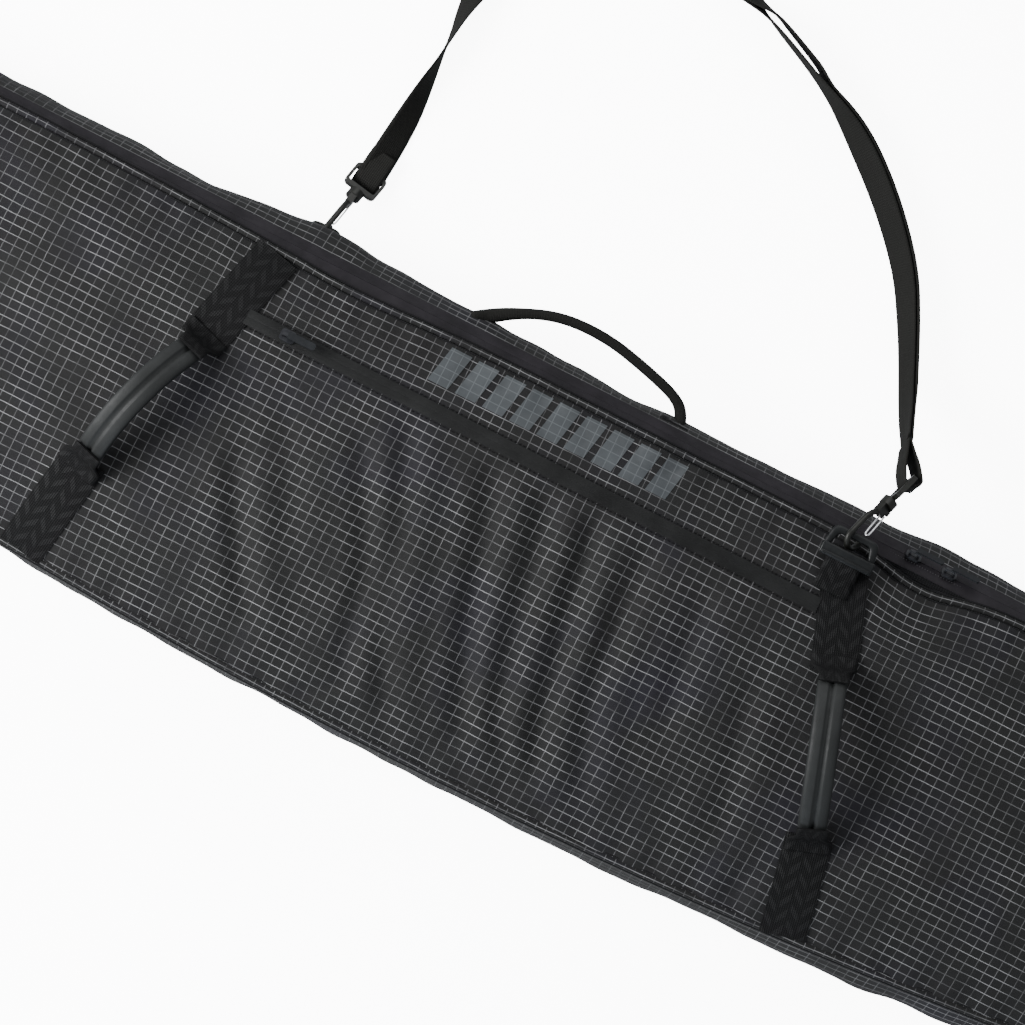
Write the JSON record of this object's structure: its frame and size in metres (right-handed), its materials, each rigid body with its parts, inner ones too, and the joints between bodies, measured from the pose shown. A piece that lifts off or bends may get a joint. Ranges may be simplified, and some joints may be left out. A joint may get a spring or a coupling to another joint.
{
  "type": "ski bag",
  "caption": "Long padded ski bag with a zipped front panel that hinges open, carry handles, a haul handle and a clip-on shoulder strap.",
  "frame": {"origin": "centre of the flat back face that the bag lies on", "axes": "+X along the bag, +Y towards the main zip, +Z out of the front panel"},
  "size_m": [1.8, 0.7246, 0.1682],
  "materials": {
    "ripstop": "black ripstop with a thin pale grid",
    "foam": "closed-cell foam",
    "lining": "grey taffeta",
    "piping": "bound edge",
    "zip_tape": "smooth laminated tape",
    "zip_coil": "nylon coil",
    "emblem": "translucent print",
    "grip": "soft moulded sleeve",
    "gate_metal": "bright plated",
    "hook_metal": "gunmetal",
    "plastic": "moulded acetal",
    "slider_metal": "black enamel",
    "pull": "moulded pull",
    "strap": "woven webbing",
    "webbing": "woven webbing with a tonal figure"
  },
  "bodies": {
    "root": {"back_foam": "foam", "back_lining": "lining", "back_panel": "ripstop", "back_piping": "piping", "dring_left_tab": "webbing", "gusset_end_left": "ripstop", "gusset_end_right": "ripstop", "gusset_foam_end_left": "foam", "gusset_foam_end_right": "foam", "gusset_foam_hinge_side": "foam", "gusset_foam_zip_side": "foam", "gusset_hinge_side": "ripstop", "gusset_lining": "lining", "gusset_zip_side": "ripstop", "haul_handle_patches": "webbing", "hook_eye_left": "hook_metal", "strap_adjuster": "plastic", "strap_end_loops": "strap", "strap_floor": "strap", "strap_floor_return": "strap", "strap_rise": "strap", "strap_rise_return": "strap", "tie_buckles": "plastic", "tie_straps": "webbing", "zip_coil_lower": "zip_coil", "zip_tape_lower": "zip_tape"},
    "lid": {"front_panel": "ripstop", "front_foam": "foam", "front_lining": "lining", "front_piping": "piping", "gusset_hinge_upper": "ripstop", "zip_tape_upper": "zip_tape", "zip_coil_upper": "zip_coil", "pocket_tape_upper": "zip_tape", "pocket_tape_lower": "zip_tape", "pocket_bag": "lining", "emblem_patch": "emblem", "left_webbing_upper": "webbing", "left_webbing_lower": "webbing", "right_webbing_upper": "webbing", "right_webbing_lower": "webbing", "ring_right_loop": "webbing", "hook_eye_right": "hook_metal"},
    "left_grip": {"left_grip": "grip", "left_grip_webbing": "webbing"},
    "right_grip": {"right_grip": "grip", "right_grip_webbing": "webbing"},
    "haul_handle": {"haul_handle": "webbing"},
    "ring_right": {"ring_right": "plastic"},
    "dring_left": {"dring_left": "hook_metal"},
    "hook_right": {"hook_right": "hook_metal"},
    "hook_gate_right": {"hook_gate_right": "gate_metal"},
    "hook_left": {"hook_left": "hook_metal"},
    "hook_gate_left": {"hook_gate_left": "gate_metal"},
    "main_slider_a": {"main_slider_a": "slider_metal"},
    "main_pull_a": {"main_pull_a": "pull"},
    "main_slider_b": {"main_slider_b": "slider_metal"},
    "main_pull_b": {"main_pull_b": "pull"},
    "pocket_slider": {"pocket_slider": "slider_metal"},
    "pocket_pull": {"pocket_pull": "pull"}
  },
  "joints": [
    {"name": "lid_open", "type": "hinge", "parent": "root", "child": "lid", "pos_m": [0, -0.178, 0.0882], "axis": [1, 0, 0], "range_deg": [0, 100]},
    {"name": "left_grip_swing", "type": "hinge", "parent": "lid", "child": "left_grip", "pos_m": [-0.3015, -0.0065, 0.12873], "axis": [-0.3022, -0.9532, 0.005], "range_deg": [-40, 40]},
    {"name": "right_grip_swing", "type": "hinge", "parent": "lid", "child": "right_grip", "pos_m": [0.3045, -0.013, 0.12859], "axis": [0.323, -0.9464, -0.0042], "range_deg": [-40, 40]},
    {"name": "haul_handle_swing", "type": "hinge", "parent": "root", "child": "haul_handle", "pos_m": [0, 0.17933, 0.058], "axis": [1, 0, 0], "range_deg": [-60, 60]},
    {"name": "ring_right_flip", "type": "hinge", "parent": "lid", "child": "ring_right", "pos_m": [0.253, 0.134, 0.117], "axis": [1, 0, 0], "range_deg": [-3, 3]},
    {"name": "dring_left_flip", "type": "hinge", "parent": "root", "child": "dring_left", "pos_m": [-0.24, 0.1782, 0.0575], "axis": [1, 0, 0], "range_deg": [-6, 6]},
    {"name": "hook_right_swivel", "type": "hinge", "parent": "lid", "child": "hook_right", "pos_m": [0.252, 0.152, 0.116], "axis": [0.3042, 0.8974, -0.3194], "range_deg": [-10, 10]},
    {"name": "hook_gate_right_open", "type": "hinge", "parent": "hook_right", "child": "hook_gate_right", "pos_m": [0.26498, 0.17747, 0.10129], "axis": [-0.7914, 0.0515, -0.6091], "range_deg": [0, 18], "stiffness_Nm_per_rad": 0.02, "springref_deg": -11.46},
    {"name": "hook_left_swivel", "type": "hinge", "parent": "root", "child": "hook_left", "pos_m": [-0.24, 0.186, 0.041], "axis": [0.1496, 0.8524, -0.501], "range_deg": [-15, 15]},
    {"name": "hook_gate_left_open", "type": "hinge", "parent": "hook_left", "child": "hook_gate_left", "pos_m": [-0.23584, 0.20969, 0.01968], "axis": [-0.985, 0.1728, 0], "range_deg": [0, 18], "stiffness_Nm_per_rad": 0.02, "springref_deg": -11.46},
    {"name": "main_slider_a_run", "type": "slide", "parent": "root", "child": "main_slider_a", "axis": [1, 0, 0], "range_m": [-1.09, 0]},
    {"name": "main_pull_a_lift", "type": "hinge", "parent": "main_slider_a", "child": "main_pull_a", "pos_m": [0.3042, 0.16682, 0.09444], "axis": [0, -0.6, 0.8], "range_deg": [0, 100]},
    {"name": "main_slider_b_run", "type": "slide", "parent": "root", "child": "main_slider_b", "axis": [1, 0, 0], "range_m": [0, 0.45]},
    {"name": "main_pull_b_lift", "type": "hinge", "parent": "main_slider_b", "child": "main_pull_b", "pos_m": [0.3362, 0.16682, 0.09444], "axis": [0, -0.6, 0.8], "range_deg": [0, 140]},
    {"name": "pocket_slider_run", "type": "slide", "parent": "lid", "child": "pocket_slider", "axis": [1, 0, 0], "range_m": [0, 0.455]},
    {"name": "pocket_pull_lift", "type": "hinge", "parent": "pocket_slider", "child": "pocket_pull", "pos_m": [-0.2208, 0.09233, 0.1329], "axis": [0, -0.9844, 0.1758], "range_deg": [0, 140]}
  ]
}
